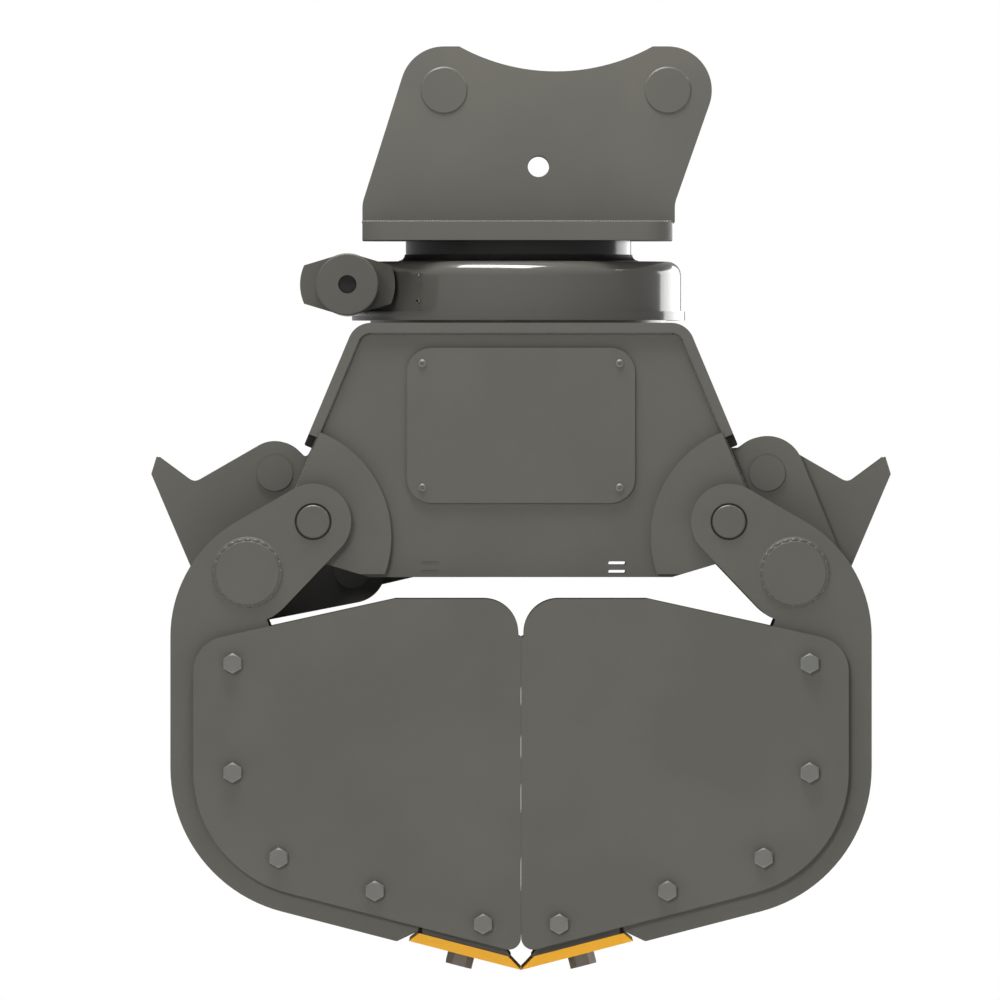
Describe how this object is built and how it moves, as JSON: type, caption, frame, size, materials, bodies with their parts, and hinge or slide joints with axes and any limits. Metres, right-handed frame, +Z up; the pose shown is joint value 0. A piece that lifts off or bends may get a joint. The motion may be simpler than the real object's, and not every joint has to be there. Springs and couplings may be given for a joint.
{
  "type": "sorting grapple",
  "caption": "Hydraulic sorting grapple: two-pin head bracket, worm-driven rotator, box frame and two pivoting shells driven by one cylinder and synchronising links.",
  "frame": {"origin": "middle of the stick pin of the head bracket", "axes": "+X from the stick pin to the link pin, +Y along the pins towards their keeper flags, +Z up"},
  "size_m": [1.4774, 0.93, 1.846],
  "materials": {
    "body_paint": "satin grey paint",
    "slew_paint": "glossy dark grey paint",
    "edge_paint": "yellow paint",
    "steel": "machined steel",
    "rod_chrome": "hard chrome",
    "zinc": "dull plated steel",
    "seal_rubber": "black rubber"
  },
  "bodies": {
    "head": {"head_base_plate": "body_paint", "head_ear_front": "body_paint", "head_ear_rear": "body_paint", "head_cross_plates": "body_paint", "neck_ring": "slew_paint", "neck_bolts": "zinc", "ring_gear": "steel", "swivel_core": "steel"},
    "stick_pin_body": {"stick_pin": "steel", "stick_pin_bolt": "zinc"},
    "link_pin_body": {"link_pin": "steel", "link_pin_bolt": "zinc"},
    "frame": {"slew_race": "steel", "slew_housing": "slew_paint", "slew_seal": "seal_rubber", "slew_spacer": "steel", "slew_bolts": "zinc", "slew_motor": "slew_paint", "worm_end_cap": "slew_paint", "swivel_sleeve": "steel", "frame_roof": "body_paint", "frame_side_front": "body_paint", "frame_side_rear": "body_paint", "frame_doublers": "body_paint", "frame_ribs": "body_paint", "access_covers": "body_paint", "cover_screws": "zinc", "pivot_pins": "steel", "wall_stops": "seal_rubber"},
    "worm": {"worm_shaft": "steel"},
    "left_shell": {"left_arms": "body_paint", "left_back_plate": "body_paint", "left_lip_plate": "body_paint", "left_cross_tube": "body_paint", "left_side_plates": "body_paint", "left_side_bolts": "zinc", "left_cutting_edge": "edge_paint", "left_edge_bolts": "zinc", "left_fin_plates": "body_paint", "left_lug_plates": "body_paint", "left_bushes": "steel", "left_cylinder_pin": "steel", "left_link_pin": "steel"},
    "right_shell": {"right_arms": "body_paint", "right_back_plate": "body_paint", "right_lip_plate": "body_paint", "right_cross_tube": "body_paint", "right_side_plates": "body_paint", "right_side_bolts": "zinc", "right_cutting_edge": "edge_paint", "right_edge_bolts": "zinc", "right_fin_plates": "body_paint", "right_lug_plates": "body_paint", "right_bushes": "steel", "right_cylinder_pin": "steel"},
    "cylinder_body": {"cylinder_barrel": "body_paint", "cylinder_gland": "steel"},
    "rod_body": {"cylinder_rod": "rod_chrome", "cylinder_piston": "steel"},
    "links": {"sync_links": "body_paint"}
  },
  "joints": [
    {"name": "rotator_turn", "type": "hinge", "parent": "head", "child": "frame", "pos_m": [0.149, 0, -0.4], "axis": [0, 0, 1], "continuous": true},
    {"name": "worm_spin", "type": "hinge", "parent": "frame", "child": "worm", "pos_m": [-0.193, 0, -0.389], "axis": [0, 1, 0], "continuous": true},
    {"name": "shell_open", "type": "hinge", "parent": "frame", "child": "left_shell", "pos_m": [-0.261, 0, -0.863], "axis": [0, 1, 0], "range_deg": [0, 75]},
    {"name": "right_shell_open", "type": "hinge", "parent": "frame", "child": "right_shell", "pos_m": [0.569, 0, -0.863], "axis": [0, -1, 0], "range_deg": [0, 75]},
    {"name": "cylinder_swing", "type": "hinge", "parent": "left_shell", "child": "cylinder_body", "pos_m": [-0.338, 0, -0.766], "axis": [0, -1, 0], "range_deg": [0, 75]},
    {"name": "link_swing", "type": "hinge", "parent": "left_shell", "child": "links", "pos_m": [-0.184, 0, -0.96], "axis": [0, -1, 0], "range_deg": [0, 75]},
    {"name": "rod_swing", "type": "hinge", "parent": "right_shell", "child": "rod_body", "pos_m": [0.646, 0, -0.766], "axis": [0, 1, 0], "range_deg": [0, 75]},
    {"name": "stick_pin_draw", "type": "slide", "parent": "head", "child": "stick_pin_body", "axis": [0, 1, 0], "range_m": [0, 0.75]},
    {"name": "link_pin_draw", "type": "slide", "parent": "head", "child": "link_pin_body", "axis": [0, 1, 0], "range_m": [0, 0.75]}
  ],
  "couplings": [
    {"joint": "worm_spin", "follows": "rotator_turn", "ratio": 76},
    {"joint": "right_shell_open", "follows": "shell_open", "ratio": 1},
    {"joint": "cylinder_swing", "follows": "shell_open", "ratio": 1},
    {"joint": "link_swing", "follows": "shell_open", "ratio": 1},
    {"joint": "rod_swing", "follows": "shell_open", "ratio": 1}
  ]
}
